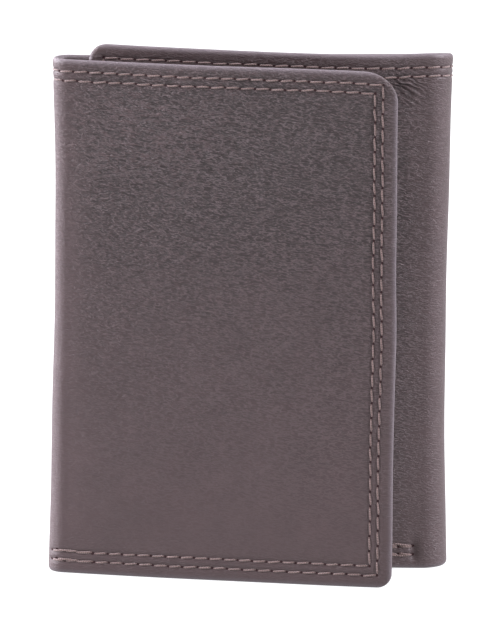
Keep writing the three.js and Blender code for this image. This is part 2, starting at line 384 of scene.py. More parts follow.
def spaced(low, high, step, fine=()):
    """Positions from low to high, closer together inside the fine ranges (from, to, step)."""
    stops, x = [low], low
    while x < high - TINY:
        here = min([step] + [s for a, b, s in fine if a - TINY <= x < b])
        x = min(x + here, high)
        if high - x < 0.4 * here:
            x = high
        stops.append(x)
    return np.array(stops)


def corner_warp(u, z, box, radii):
    """Pulls a rectangle's corners onto arcs. Returns the points and the outward directions there."""
    u0, u1, z0, z1 = box
    out_u = 1.0 * (u >= u1 - TINY) - (u <= u0 + TINY)
    out_z = 1.0 * (z >= z1 - TINY) - (z <= z0 + TINY)
    corners = [(u0, z0), (u1, z0), (u1, z1), (u0, z1)]
    for radius, (corner_u, corner_z) in zip(radii, corners):
        if radius <= 0:
            continue
        sign_u, sign_z = (1 if corner_u == u1 else -1), (1 if corner_z == z1 else -1)
        centre_u, centre_z = corner_u - sign_u * radius, corner_z - sign_z * radius
        a, b = sign_u * (u - centre_u) / radius, sign_z * (z - centre_z) / radius
        inside = (a > 0) & (b > 0)
        disc_a = a * np.sqrt(np.clip(1 - b * b / 2, 0, 1))  # a square mapped onto a disc
        disc_b = b * np.sqrt(np.clip(1 - a * a / 2, 0, 1))
        u = np.where(inside, centre_u + sign_u * radius * disc_a, u)
        z = np.where(inside, centre_z + sign_z * radius * disc_b, z)
        size = np.maximum(np.hypot(disc_a, disc_b), TINY)
        out_u = np.where(inside, sign_u * disc_a / size, out_u)
        out_z = np.where(inside, sign_z * disc_b / size, out_z)
    size = np.maximum(np.hypot(out_u, out_z), TINY)
    return u, z, out_u / size, out_z / size


def border_paths(count_u, count_z, closed):
    """The grid's boundary as lists of (i, j), in turn round the sides that are closed by a rim."""
    sides = {
        "bottom": [(i, 0) for i in range(count_u)],
        "right": [(count_u - 1, j) for j in range(count_z)],
        "top": [(i, count_z - 1) for i in reversed(range(count_u))],
        "left": [(0, j) for j in reversed(range(count_z))],
    }
    names = list(sides)
    if all(name in closed for name in names):
        return [[point for side in sides.values() for point in side[:-1]] + [(0, 0)]]
    start = next(k for k in range(4) if names[k - 1] not in closed and names[k] in closed)
    paths = []
    for k in range(start, start + 4):
        side, previous = names[k % 4], names[(k - 1) % 4]
        if side in closed and paths and previous in closed:
            paths[-1] += sides[side][1:]
        elif side in closed:
            paths.append(sides[side])
    return paths


def grid_faces(index, count):
    """The outer and inner faces of a plate, wound opposite ways."""
    a, b = index[:-1, :-1].ravel(), index[:-1, 1:].ravel()
    c, e = index[1:, 1:].ravel(), index[1:, :-1].ravel()
    return [np.stack([a, b, c, e], 1), np.stack([a, e, c, b], 1) + count]


def straighten_ends(points, outward):
    """Where a rim stops at an open side, makes it run straight on."""
    for end, inner in ((0, 1), (-1, -2)):
        tangent = unit(points[end] - points[inner])
        outward[end] = unit(outward[end] - (outward[end] @ tangent) * tangent)


def rim_rings(points, outward, outer, inner, rim, rings):
    """Rows of points round the edge of a plate, from its outer to its inner face."""
    d0, d1 = outer(*points.T), inner(*points.T)
    for m in range(1, rings):
        turn = math.pi * m / rings
        depth = (d0 + d1) / 2 - (d1 - d0) / 2 * math.cos(turn)
        yield np.column_stack([points + outward * (rim * math.sin(turn)), depth])


def plate(name, us, zs, outer, inner, rim, rings, radii=SQUARE, closed="bottom right top left",
          normals=False):
    """A sheet of the wallet between two depth functions, with rounded edges on its closed sides."""
    box = (us[0], us[-1], zs[0], zs[-1])
    u, z, out_u, out_z = corner_warp(*np.meshgrid(us, zs, indexing="ij"), box, radii)
    count = u.size
    flat_points = np.column_stack([u.ravel(), z.ravel()])
    flat_outward = np.column_stack([out_u.ravel(), out_z.ravel()])
    rows = [np.column_stack([flat_points, depth(u, z).ravel()]) for depth in (outer, inner)]
    index = np.arange(count).reshape(u.shape)
    faces = grid_faces(index, count)
    total = 2 * count
    for path in border_paths(*u.shape, closed.split()):
        ids = np.array([index[p] for p in path])
        loop = ids[0] == ids[-1]
        points, outward = flat_points[ids], flat_outward[ids]
        if not loop:
            straighten_ends(points, outward)
        ring_ids = [ids]
        for ring in rim_rings(points, outward, outer, inner, rim, rings):
            new = total + np.arange(len(ring) - loop)
            rows.append(ring[: len(new)])
            total += len(new)
            ring_ids.append(np.append(new, new[0]) if loop else new)
        ring_ids.append(ids + count)
        for r0, r1 in zip(ring_ids[:-1], ring_ids[1:]):
            faces.append(np.stack([r0[:-1], r0[1:], r1[1:], r1[:-1]], 1))
    flat = np.concatenate(rows)
    obj = make_sheet(name, flat, np.concatenate(faces))
    if normals:
        smooth_across_seams(obj, flat, count, outer, inner)
    return obj


def smooth_across_seams(obj, flat, count, outer, inner):
    """Gives the two faces exact normals, so that neighbouring sections meet with no visible line."""
    normals = stored(obj.data.vertices, "normal")
    e = 0.02  # half the step that slopes are measured over
    for start, depth in ((0, outer), (count, inner)):
        part = slice(start, start + count)
        u, z = flat[part, :2].T
        du = place(u + e, z, depth(u + e, z)) - place(u - e, z, depth(u - e, z))
        dz = place(u, z + e, depth(u, z + e)) - place(u, z - e, depth(u, z - e))
        n = unit(np.cross(du, dz))
        n *= np.where((n * normals[part]).sum(1) < 0, -1, 1)[:, None]
        keep = margin(u, z) >= RIM + 0.3
        normals[part][keep] = n[keep]
    obj.data.normals_split_custom_set_from_vertices(normals.tolist())


# The outer leather

def skin_inner(u, z):
    """The leather's inner surface: a step where the turned edge ends."""
    t = np.clip((TURNED - margin(u, z)) / 0.5, 0, 1)
    return SKIN + (EDGE - SKIN) * smooth_step(t)


SEWN = 6.2  # the mesh is fine this far in, to hold the stitch grooves
SEWN_STEP = 0.34
U_STEP, Z_STEP = 0.9, 0.5  # the leather's mesh elsewhere
FOLD_FINE = [(U_FRONT - 2, U_REAR + 2, 0.4), (U_RIGHT - 2, U_INNER + 2, 0.5)]
SKIN_FINE_U = FOLD_FINE + [
    (0, SEWN, SEWN_STEP),
    (SEWN, U_FRONT, 0.6),
    (U_INNER, U_INNER + 11, 0.3),
    (U_END - SEWN, U_END, SEWN_STEP),
]
SKIN_FINE_Z = [
    (0, SEWN, SEWN_STEP),
    (TURNED - 0.8, TURNED + 0.4, 0.3),
    (HEIGHT - TURNED - 0.4, HEIGHT - TURNED + 0.8, 0.3),
    (HEIGHT - SEWN, HEIGHT, SEWN_STEP),
]
WRINKLED_Z = (HEIGHT - 15, HEIGHT, 0.25)


def skin(name, low, high, closed, radii):
    """One section of the outer leather."""
    start = RIM if "left" in closed else low
    stop = high - RIM if "right" in closed else high
    wrinkled = [WRINKLED_Z] if low == U_RIGHT_MID else []
    us = spaced(start, stop, U_STEP, SKIN_FINE_U)
    zs = spaced(RIM, HEIGHT - RIM, Z_STEP, SKIN_FINE_Z + wrinkled)
    return plate(name, us, zs, leather_depth, skin_inner, RIM, 8, radii, closed, normals=True)


def stop_line(u_mid, direction):
    """The point in the middle of a fold, and the direction along the leather there."""
    here = place(np.array([u_mid, u_mid + 0.01 * direction]), HEIGHT / 2, 0.0)
    tangent = here[1] - here[0]
    tangent[2] = 0
    return Vector(here[0]), Vector(tangent).normalized()


LEFT_AT, LEFT_DIR = stop_line(U_LEFT_MID, -1)
RIGHT_AT, RIGHT_DIR = stop_line(U_RIGHT_MID, 1)
LEFT_REACH = LEFT_RADIUS * math.sin(math.radians(LEFT_TURN / 2)) * MM
RIGHT_REACH = RIGHT_RADIUS * math.sin(math.radians(RIGHT_TURN / 2)) * MM


def follow(obj, section, depth=0.0):
    """Ties a piece to the body of its section. Pieces that cross a crease are baked where they stand and
    tied to no body.
    """
    left = LEFT_DIR * (LEFT_REACH * (1 - depth / LEFT_RADIUS))
    right = RIGHT_DIR * (RIGHT_REACH * (1 - depth / RIGHT_RADIUS))
    bends = {
        "front": ("left_spine", "front_flap", LEFT_AT, LEFT_AT + left),
        "left_back": ("rear_panel", "left_spine", LEFT_AT - left, LEFT_AT),
        "right_back": ("rear_panel", "right_spine", RIGHT_AT - right, RIGHT_AT),
        "right_fold": ("right_spine", "inner_flap", RIGHT_AT, RIGHT_AT + right),
    }
    if section in bends:
        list(bends[section])
        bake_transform(obj)
    else:
        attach(obj, section)
    return obj


SECTIONS = {
    "front": (0.0, U_LEFT_MID),
    "left_back": (U_LEFT_MID, U_BACK_MID),
    "right_back": (U_BACK_MID, U_RIGHT_MID),
    "right_fold": (U_RIGHT_MID, U_FOLD_END),
    "inner_flap": (U_FOLD_END, U_END),
}


# Stitches

THREAD_SIDES = 6
THREAD_RADII = (0.21, 0.17)  # across the leather, and out of it
THREAD_POINTS = 9  # along a stitch
THREAD_SINK = 0.30  # how deep a stitch dives at its holes
THREAD_RISE = 0.44  # how far it comes up from there
SLANT = 0.14  # how far a stitch's ends lie off its row
HOLE_SIZE = (0.30, 0.25)  # along the row and across it
HOLE_SIDES = 8


def tube(path):
    """Points and faces of a stitch along (u, z, d) points, oval in section and pinched at its ends."""
    along = unit(np.gradient(path, axis=0))
    side = unit(np.stack([-along[:, 1], along[:, 0], np.zeros(len(path))], 1))
    up = np.cross(along, side)
    angle = np.linspace(0, 2 * math.pi, THREAD_SIDES, endpoint=False)
    across = (np.cos(angle) * THREAD_RADII[0])[None, :, None]
    out = (np.sin(angle) * THREAD_RADII[1])[None, :, None]
    ring = side[:, None] * across + up[:, None] * out
    taper = np.sqrt(np.clip(np.sin(np.linspace(0.12, math.pi - 0.12, len(path))) * 1.8, 0, 1))
    points = (path[:, None] + ring * taper[:, None, None]).reshape(-1, 3)
    faces = []
    for i in range(len(path) - 1):
        for k in range(THREAD_SIDES):
            n = (k + 1) % THREAD_SIDES
            here, there = i * THREAD_SIDES, (i + 1) * THREAD_SIDES
            faces.append((here + k, here + n, there + n, there + k))
    share = np.repeat(np.arange(len(path)) / (len(path) - 1), THREAD_SIDES)
    return points, faces, share, np.tile(angle, len(path))


def stitch_count(start, end):
    return max(1, round(math.dist(start, end) / PITCH))


def stitches_along(start, end, surface, facing, seed):
    """The thread paths and needle holes of one row on a surface d = surface(u, z)."""
    a, b = np.array(start, float), np.array(end, float)
    count = stitch_count(start, end)
    direction = unit(b - a)
    side = np.array([direction[1], -direction[0]])
    if direction[0] < -0.5:
        side = -side
    rng = np.random.default_rng(seed)
    holes = [a + (b - a) * i / count + rng.normal(0, 0.05, 2) for i in range(count + 1)]
    threads = []
    for here, there in zip(holes[:-1], holes[1:]):
        f = np.linspace(0.05, 0.95, THREAD_POINTS)
        sideways, upward = rng.normal(0, 0.03, 2)
        line = here + (there - here) * f[:, None]
        line = line + side * (SLANT * (2 * f - 1) + sideways * np.sin(math.pi * f))[:, None]
        rise = -THREAD_SINK + THREAD_RISE * np.sin(math.pi * f) ** 0.5 + upward * 0.5
        threads.append(np.column_stack([line, surface(line[:, 0], line[:, 1]) - facing * rise]))
    return threads, holes


def dimple(centre, direction, surface, facing):
    """A needle hole: a small cup let into the surface, whose darkness is painted shade."""
    angle = np.linspace(0, 2 * math.pi, HOLE_SIDES, endpoint=False)
    side = np.array([-direction[1], direction[0]])
    along, across = np.cos(angle)[:, None] * HOLE_SIZE[0], np.sin(angle)[:, None] * HOLE_SIZE[1]
    rim = centre + along * direction + across * side
    rim_depth = surface(rim[:, 0], rim[:, 1]) - 0.03 * facing
    middle = (*centre, float(surface(*centre)) - 0.02 * facing)
    faces = [(k, (k + 1) % HOLE_SIDES, HOLE_SIDES) for k in range(HOLE_SIDES)]
    return np.vstack([np.column_stack([rim, rim_depth]), middle]), faces


def joined(parts):
    """Several lots of points and faces as one."""
    points, faces, total = [], [], 0
    for part_points, part_faces in parts:
        points.append(part_points)
        faces += [tuple(i + total for i in face) for face in part_faces]
        total += len(part_points)
    return np.vstack(points), faces


def sewing(name, rows, surface, seed, facing):
    """All the stitches of several rows as one mesh of thread and one of needle holes."""
    tubes, twists, dimples = [], [], []
    for number, (start, end) in enumerate(rows):
        threads, holes = stitches_along(start, end, surface, facing, seed + number)
        for path in threads:
            points, faces, share, angle = tube(path)
            tubes.append((points, faces))
            order = np.full(len(share), float(len(tubes)))
            twists.append(np.column_stack([share * PITCH, angle, order]))
        direction = unit(np.array(end) - np.array(start))
        dimples += [dimple(centre, direction, surface, facing) for centre in holes]
    thread_points, thread_faces = joined(tubes)
    hole_points, hole_faces = joined(dimples)
    thread = make(name, place(*thread_points.T), thread_faces)
    store(thread.data, "twist", np.vstack(twists))
    return thread, make_sheet(name + "_holes", hole_points, hole_faces)


def cut_rows(rows, low, high):
    """The parts of rows that lie in a section, cut at whole stitches."""
    kept = []
    for (ua, za), (ub, zb) in rows:
        count = stitch_count((ua, za), (ub, zb))
        stops = [(ua + (ub - ua) * i / count, za + (zb - za) * i / count) for i in range(count + 1)]
        inside = [low <= (p[0] + q[0]) / 2 < high for p, q in zip(stops[:-1], stops[1:])]
        if any(inside):  # a row is straight, so its part in a section is one stretch
            first = inside.index(True)
            kept.append((stops[first], stops[first + sum(inside)]))
    return kept


# Materials

class Graph:
    """A material's nodes, made in a line or two each."""

    def __init__(self, name):
        self.material = bpy.data.materials.new(name)
        self.material.use_nodes = True
        self.tree = self.material.node_tree
        self.shader = next(n for n in self.tree.nodes if n.type == "BSDF_PRINCIPLED")

    def node(self, kind, **settings):
        n = self.tree.nodes.new("ShaderNode" + kind)
        inputs = settings.pop("inputs", {})
        for key, value in settings.items():
            setattr(n, key, value)
        for key, value in inputs.items():
            self.feed(n, key, value)
        return n

    def feed(self, n, key, value):
        socket = n.inputs[key]
        if isinstance(value, bpy.types.NodeSocket):
            self.tree.links.new(value, socket)
        else:
            socket.default_value = value

    def attribute(self, name):
        return self.node("Attribute", attribute_name=name).outputs["Vector"]

    def split(self, vector):
        return self.node("SeparateXYZ", inputs={"Vector": vector}).outputs

    def math(self, operation, a, b=0.0, clamp=False):
        n = self.node("Math", operation=operation, use_clamp=clamp, inputs={0: a, 1: b})
        return n.outputs[0]

    def times(self, a, b):
        return self.math("MULTIPLY", a, b)

    def vector_math(self, operation, a, b):
        return self.node("VectorMath", operation=operation, inputs={0: a, 1: b}).outputs[0]

    def scale(self, vector, by):
        return self.vector_math("MULTIPLY", vector, by)

    def noise(self, vector, scale, detail=2.0, rough=0.5, output="Fac"):
        inputs = {"Vector": vector, "Scale": scale, "Detail": detail, "Roughness": rough}
        return self.node("TexNoise", inputs=inputs).outputs[output]

    def cells(self, vector, scale):
        """The distance from the middle of the nearest cell."""
        return self.node("TexVoronoi", inputs={"Vector": vector, "Scale": scale}).outputs["Distance"]

    def remap(self, value, low, high, to_low=0.0, to_high=1.0):
        inputs = {"Value": value, "From Min": low, "From Max": high, "To Min": to_low, "To Max": to_high}
        return self.node("MapRange", inputs=inputs).outputs[0]

    def mix_colour(self, factor, a, b):
        return self.node("Mix", data_type="RGBA", inputs={0: factor, 6: a, 7: b}).outputs[2]

    def bump(self, height, distance, strength):
        inputs = {"Height": height, "Distance": distance, "Strength": strength}
        return self.node("Bump", inputs=inputs).outputs[0]

    def set(self, **values):
        for key, value in values.items():
            self.feed(self.shader, key.replace("_", " "), value)
        return self.material


def linear(shade):
    """A display value from 0 to 255 as linear light from 0 to 1."""
    shade /= 255
    return shade / 12.92 if shade <= 0.04045 else ((shade + 0.055) / 1.055) ** 2.4


def rgb(red, green, blue):
    return (linear(red), linear(green), linear(blue), 1.0)


LINT = rgb(170, 160, 158)
# Painted highlight colour for the pale crests of the grain's ridge lines.
PAINTED_CREST_HIGHLIGHT = rgb(140, 128, 131)
GRAIN_TURN = -0.14  # the grain runs at this angle to the wallet's lower edge


def grain_space(g, sheet):
    """The sheet's millimetres, bent a little and turned, so that the grain isn't regular."""
    drift = g.noise(sheet, 0.8, output="Color")
    bent = g.vector_math("ADD", sheet, g.scale(drift, (0.45, 0.25, 0.0)))
    inputs = {"Vector": bent, "Location": (0, 0, 0.4), "Rotation": (0, 0, GRAIN_TURN)}
    return g.node("Mapping", inputs=inputs).outputs[0]


def ridge_distance(g, bent):
    """How far a point is from the grain's nearest ridge line."""
    streak = g.noise(g.scale(bent, (0.65, 3.0, 1.0)), 1.0)
    return g.math("ABSOLUTE", g.math("SUBTRACT", streak, 0.5))


def grain_height(g, bent, ridge, crinkle):
    """Domed grain wider than it is high, with ridges, and creases where the leather is crinkled."""
    domes = g.remap(g.cells(g.scale(bent, (1.1, 2.6, 0.0)), 1.0), 0.0, 0.75, 1.0, 0.0)
    ridges = g.remap(ridge, 0.0, 0.07, 1.0, 0.0)
    creases = g.remap(g.noise(g.scale(bent, (0.4, 1.8, 1.0)), 1.0, 3.0, 0.6), 0.35, 0.65)
    height = g.math("ADD", g.times(domes, 0.4), g.times(ridges, 0.6))
    return g.math("ADD", height, g.times(creases, g.times(crinkle, 0.4)))


def leather(name, dark, base, light, rough):
    """Grained leather with mottling and lint, painted highlights on the grain's crests, and paler edges
    and folds, partly rubbed leather and partly painted highlight.
    """
    g = Graph(name)
    sheet = g.attribute("sheet_mm")
    grain, crinkle, edge = g.split(g.attribute("wear_and_sheen"))
    bent = grain_space(g, sheet)
    ridge = ridge_distance(g, bent)
    height = grain_height(g, bent, ridge, crinkle)
    mottle = g.math("SUBTRACT", g.noise(sheet, 0.13, 4.0, 0.6), 0.5)
    # The grain's colour: darker in its creases, as the leather is, and paler on its tops, which is
    # painted highlight.
    grain_tone_and_highlight = g.times(g.math("SUBTRACT", height, 0.4), g.times(grain, 2.1))
    grain_tone_and_highlight = g.math("ADD", g.math("ADD", grain_tone_and_highlight, 0.55), g.times(mottle, 0.35), clamp=True)
    # Painted highlight: the grain's ridge lines are mixed towards a paler colour where light would glint
    # on them.
    crest_highlight = g.times(g.remap(ridge, 0.0, 0.06, 1.0, 0.0), g.times(grain, 0.24))
    colour = g.mix_colour(grain_tone_and_highlight, dark, base)
    colour = g.mix_colour(crest_highlight, colour, PAINTED_CREST_HIGHLIGHT)
    # Paler edges, partly rubbed leather and partly painted highlight, and a painted highlight along the
    # folds.
    colour = g.mix_colour(g.times(edge, 0.85), colour, light)
    colour = g.mix_colour(g.remap(g.cells(sheet, 0.06), 0.006, 0.012, 0.5, 0.0), colour, LINT)
    roughness = g.remap(grain_tone_and_highlight, 0.0, 1.0, rough + 0.1, rough - 0.06)
    normal = g.bump(g.times(height, g.math("ADD", grain, 0.12)), 0.0004, 1.0)
    return g.set(Base_Color=colour, Roughness=roughness, Normal=normal, Specular_IOR_Level=0.5)


def thread_material():
    """Thread of twisted plies, with painted highlight along each ply and painted shade between them,
    whose colour changes from stitch to stitch.
    """
    g = Graph("twisted_thread")
    twist = g.attribute("twist")
    along, around, _ = g.split(twist)
    lay = g.math("SINE", g.math("ADD", g.times(along, 17.0), around))
    ply_height_and_shading = g.remap(lay, -1.0, 1.0)
    tint = g.remap(g.noise(twist, 0.7, 1.0), 0.3, 0.7)
    # Painted highlight along each ply and painted shade in the grooves between them.
    colour = g.mix_colour(ply_height_and_shading, rgb(58, 43, 42), rgb(132, 109, 105))
    colour = g.mix_colour(g.times(tint, 0.4), colour, rgb(94, 72, 69))
    return g.set(Base_Color=colour, Roughness=0.6, Normal=g.bump(ply_height_and_shading, 0.00005, 0.8), Sheen_Weight=0.3)


def hole_shade_material():
    """Painted shade for the inside of a needle hole."""
    g = Graph("needle_hole_painted_shade")
    # Dark colour standing in for the shade inside the hole.
    colour = g.mix_colour(g.noise(g.attribute("sheet_mm"), 3.0), rgb(34, 22, 24), rgb(58, 41, 43))
    return g.set(Base_Color=colour, Roughness=0.9, Specular_IOR_Level=0.1)


def cloth_material():
    """Plain-woven lining cloth."""
    g = Graph("woven_lining")
    sheet = g.attribute("sheet_mm")
    across, up, _ = g.split(sheet)
    warp = g.math("SINE", g.times(across, 14.0))
    weft = g.math("SINE", g.times(up, 14.0))
    weave = g.remap(g.times(warp, weft), -1.0, 1.0)
    fuzz = g.noise(sheet, 4.0, 3.0, 0.6)
    colour = g.mix_colour(weave, rgb(50, 40, 43), rgb(82, 68, 71))
    colour = g.mix_colour(g.times(fuzz, 0.35), colour, rgb(66, 53, 56))
    normal = g.bump(weave, 0.00004, 0.8)
    return g.set(Base_Color=colour, Roughness=0.72, Normal=normal, Sheen_Weight=0.35)


def film_material():
    """Clear film with a little haze and upright scuffs."""
    g = Graph("clear_film")
    sheet = g.attribute("sheet_mm")
    haze = g.remap(g.noise(sheet, 0.25, 3.0, 0.6), 0.3, 0.7, 0.06, 0.14)
    scuffs = g.remap(g.noise(g.scale(sheet, (3.0, 0.2, 1.0)), 1.2, 3.0, 0.7), 0.62, 0.8)
    roughness = g.math("ADD", haze, g.times(scuffs, 0.2))
    normal = g.bump(g.noise(sheet, 0.05, 1.0), 0.0004, 0.3)
    return g.set(Base_Color=rgb(205, 208, 210), Roughness=roughness, Normal=normal, Alpha=0.14, IOR=1.46)


# The third colour of each is its paler edge colour, partly rubbed leather and partly painted highlight;
# on the outer leather it is also the folds' painted highlight.
OUTER = leather("outer_leather", rgb(35, 23, 24), rgb(79, 61, 63), rgb(92, 83, 89), rough=0.48)
PANEL = leather("inner_leather", rgb(34, 26, 28), rgb(74, 61, 64), rgb(86, 73, 77), rough=0.5)
THREAD = thread_material()
HOLE_SHADE = hole_shade_material()
CLOTH = cloth_material()
FILM = film_material()


def skin_wear_and_sheen(u, z):
    """Grain, crinkling and paleness of the outer leather. Its edges are paler, partly rubbed leather and
    partly painted highlight, and its folds carry a painted highlight.
    """
    # Painted highlight along both folds.
    folds = 0.5 * (bump(u, U_LEFT_MID, 3) + bump(u, U_RIGHT_MID, 5))
    crinkle = bump(u, 50, 22) * bump(z, 94, 15)
    # Paler within the rounding of the edges, partly rubbed leather and partly painted highlight, plus
    # the folds' painted highlight.
    pale = np.clip(1 - margin(u, z) / 1.1, 0, 1) + folds * 0.3
    return grain_and_highlight_strength(u, z), crinkle, np.clip(pale, 0, 1)


def panel_wear_and_sheen(box):
    """The same for a piece of inner leather that fills a box."""
    def wear_and_sheen(u, z):
        return np.full(len(u), 0.45), np.zeros(len(u)), np.clip(1 - margin(u, z, box) / 0.8, 0, 1)
    return wear_and_sheen


def wear_and_sheen_layer(obj, wear_and_sheen):
    """Stores wear(u, z) at each point, for the leather materials."""
    u, z, _ = stored(obj.data.attributes["sheet_mm"].data, "vector").T
    store(obj.data, "wear_and_sheen", np.column_stack(wear_and_sheen(u, z)))


def paint(obj, material):
    obj.data.materials.append(material)
    return obj


# Assembly

LAYER_NODES = {  # the CAD has one shell and one lining for each of these
    "front": ["front", "left_spine"],
    "left_back": ["rear"],
    "right_back": ["rear"],
    "right_fold": ["right_spine"],
    "inner_flap": ["inner_flap"],
}


def outer_leather():
    closed = {"front": "bottom top left", "inner_flap": "bottom right top"}
    radii = {"front": (2.0, 0, 0, 5.5), "inner_flap": (0, 2.5, 2.8, 0)}
    for section, (low, high) in SECTIONS.items():
        sides = closed.get(section, "bottom top")
        obj = skin(f"{section}_leather", low, high, sides, radii.get(section, SQUARE))
        wear_and_sheen_layer(obj, skin_wear_and_sheen)
        paint(obj, OUTER)
        follow(obj, section)
        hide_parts(*[f"{node}_shell" for node in LAYER_NODES[section]])


def sew(name, rows, surface, seed, section, depth=0.0, facing=1):
    """Sews rows of stitches that go with a section. Returns the thread."""
    thread, holes = sewing(name, rows, surface, seed, facing)
    follow(paint(thread, THREAD), section, depth)
    follow(paint(holes, HOLE_SHADE), section, depth)
    return thread


def row_nodes(*rows):
    """The CAD's two nodes for each double row."""
    return [f"{row}_{side}" for row in rows for side in ("outer", "inner")]


def outer_stitching():
    stands_for = {
        "front": row_nodes("front_stitching", "left_spine_top_stitching"),
        "left_back": row_nodes("rear_top_stitching", "rear_bottom_stitching"),
        "right_fold": row_nodes("right_spine_top_stitching"),
        "inner_flap": row_nodes("inner_flap_stitching"),
    }
    for k, (section, (low, high)) in enumerate(SECTIONS.items()):
        rows = cut_rows(OUTER_ROWS + reinforcements(), low, high)
        thread = sew(f"{section}_stitches", rows, leather_depth, 100 * k, section)
        if section in stands_for:
            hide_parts(*stands_for[section])


def level(d):
    return lambda u, z: np.full(np.broadcast(u, z).shape, float(d))


def flat_panel(name, box, surface, thickness, material, body, node, radius=0.0, rim=0.25):
    """A piece that fills a box on an inner layer. surface(u, z) is its side nearest the leather."""
    u0, u1, z0, z1 = box
    us = spaced(u0 + rim, u1 - rim, 2.0)
    zs = spaced(z0 + rim, z1 - rim, 2.0)
    obj = plate(name, us, zs, surface, lambda u, z: surface(u, z) + thickness, rim, 4, (radius,) * 4)
    wear_and_sheen_layer(obj, panel_wear_and_sheen(box))
    paint(obj, material)
    follow(obj, body)
    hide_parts(node)
    return obj


def inside_surface(u, z):
    """The innermost layer that the top rows are sewn through."""
    front = (u > PANEL_EDGE) & (u < U_FRONT - FRONT_PANEL_GAP)
    inner = (u > U_INNER + 2) & (u < U_END - PANEL_EDGE)
    return np.where((front | inner) & (z < HEIGHT - PANEL_INSET), PANEL_DEPTHS[1], skin_inner(u, z))


def inside_stitching():
    """The same top rows, seen from the inside."""
    top_rows = [row for row in OUTER_ROWS if row[0][1] == row[1][1] > HEIGHT / 2]
    for k, (section, (low, high)) in enumerate(SECTIONS.items()):
        rows = cut_rows(top_rows, low, high)
        sew(f"{section}_inside_stitches", rows, inside_surface, 500 + k, section,
            depth=EDGE, facing=-1)


def linings():
    """The cloth behind the leather, in the same sections. The turned edge holds it all round."""
    zs = spaced(LINING_INSET, HEIGHT - LINING_INSET, 2.0)
    for section, nodes in LAYER_NODES.items():
        low, high = SECTIONS[section]
        low, high = max(low, LINING_INSET), min(high, U_END - LINING_INSET)
        us = spaced(low, high, 2.0, FOLD_FINE)
        name = f"{section}_lining_cloth"
        obj = plate(name, us, zs, *(level(depth) for depth in LINING_DEPTHS), CLOTH_RIM, 3)
        paint(obj, CLOTH)
        follow(obj, section, 1.2)
        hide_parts(*[f"{node}_lining" for node in nodes])


def padded_level(d, box):
    """A level that swells towards the wallet's inside between the seams of its box."""
    u0, u1, z0, _ = box

    def surface(u, z):
        across = np.clip(4 * (u - u0) * (u1 - u) / (u1 - u0) ** 2, 0, 1)
        along = np.clip((z - z0) / 12, 0, 1)
        return d + PADDING * across * along
    return surface


def inner_seam(name, rows, surface, body):
    sew(name, rows, surface, len(name), body, facing=-1)


def card_pockets(prefix, u0, u1, first, body):
    """Three staggered upright pockets. Only the front one's seam runs along the bottom too."""
    box = (u0, u1, POCKET_BOTTOM, HEIGHT)
    floors = [top + 0.6 for top in POCKET_TOPS[1:]] + [POCKET_BOTTOM + 1.2]
    left, right = u0 + SEAM_INSET, u1 - SEAM_INSET
    for i, (rank, top, floor) in enumerate(zip(["high", "middle", "low"], POCKET_TOPS, floors)):
        depth = first + POCKET_PITCH * i
        name = f"{prefix}_card_pocket_{rank}"
        flat_panel(name + "_leather", (u0, u1, POCKET_BOTTOM, top), padded_level(depth, box),
                   POCKET_THICKNESS, PANEL, body, name, radius=0.8, rim=0.15)
        seam_top = top - TOP_SEAM_INSET
        rows = [((u, floor), (u, seam_top)) for u in (left, right)]
        rows.append(((left, seam_top), (right, seam_top)))
        if rank == "low":
            rows.append(((left, floor), (right, floor)))
        inner_seam(name + "_stitches", rows, padded_level(depth + POCKET_THICKNESS, box), body)


def rounded_loop(box, radius):
    """Points (u, z) round a rectangle with rounded corners, the same number for every box."""
    u0, u1, z0, z1 = box
    right, left, top, bottom = u1 - radius, u0 + radius, z1 - radius, z0 + radius
    centres = np.array([(right, bottom), (right, top), (left, top), (left, bottom)])
    points = []
    for k, (centre, following) in enumerate(zip(centres, np.roll(centres, -1, axis=0))):
        turn = np.radians(np.linspace(-90, 0, LOOP_CORNER) + 90 * k)
        arc = centre + radius * np.column_stack([np.cos(turn), np.sin(turn)])
        steps = np.linspace(0, 1, LOOP_SIDES[k % 2] + 1)[1:-1, None]
        points += [arc, arc[-1] + (following - centre) * steps]
    return np.vstack(points)


def frame_section(d0, d1, rim):
    """A frame's cross-section, as (share of the way across, extra distance across, depth)."""
    across = np.linspace(0, 1, 7)
    turn = np.radians(np.linspace(15, 165, 5))
    middle, half = (d0 + d1) / 2, (d1 - d0) / 2
    section = [(share, 0.0, d0) for share in across]
    section += [(1.0, rim * math.sin(a), middle - half * math.cos(a)) for a in turn]
    section += [(share, 0.0, d1) for share in across[::-1]]
    return section + [(0.0, -rim * math.sin(a), middle + half * math.cos(a)) for a in turn]


def frame_plate(name, box, opening, radii, section):
    """A flat frame round an opening, with rounded edges."""
    outside, inside = rounded_loop(box, radii[0]), rounded_loop(opening, radii[1])
    across = inside - outside
    rings = []
    for share, extra, depth in section:
        at = outside + across * share + unit(across) * extra
        rings.append(np.column_stack([at, np.full(len(at), depth)]))
    points = np.vstack(rings)
    count = len(outside)
    here = np.arange(count)
    beside = np.roll(here, -1)
    faces = []
    for r in range(len(section)):
        a, b = r * count, (r + 1) % len(section) * count
        faces.append(np.stack([a + here, a + beside, b + beside, b + here], 1))
    obj = make_sheet(name, points, np.concatenate(faces))
    wear_and_sheen_layer(obj, panel_wear_and_sheen(box))
    return obj


def box_rows(box, inset):
    """Four rows of stitches, inside a box by an inset (outside it if that is negative)."""
    u0, u1, z0, z1 = box[0] + inset, box[1] - inset, box[2] + inset, box[3] - inset
    corners = [(u0, z0), (u1, z0), (u1, z1), (u0, z1)]
    return list(zip(corners, corners[1:] + corners[:1]))


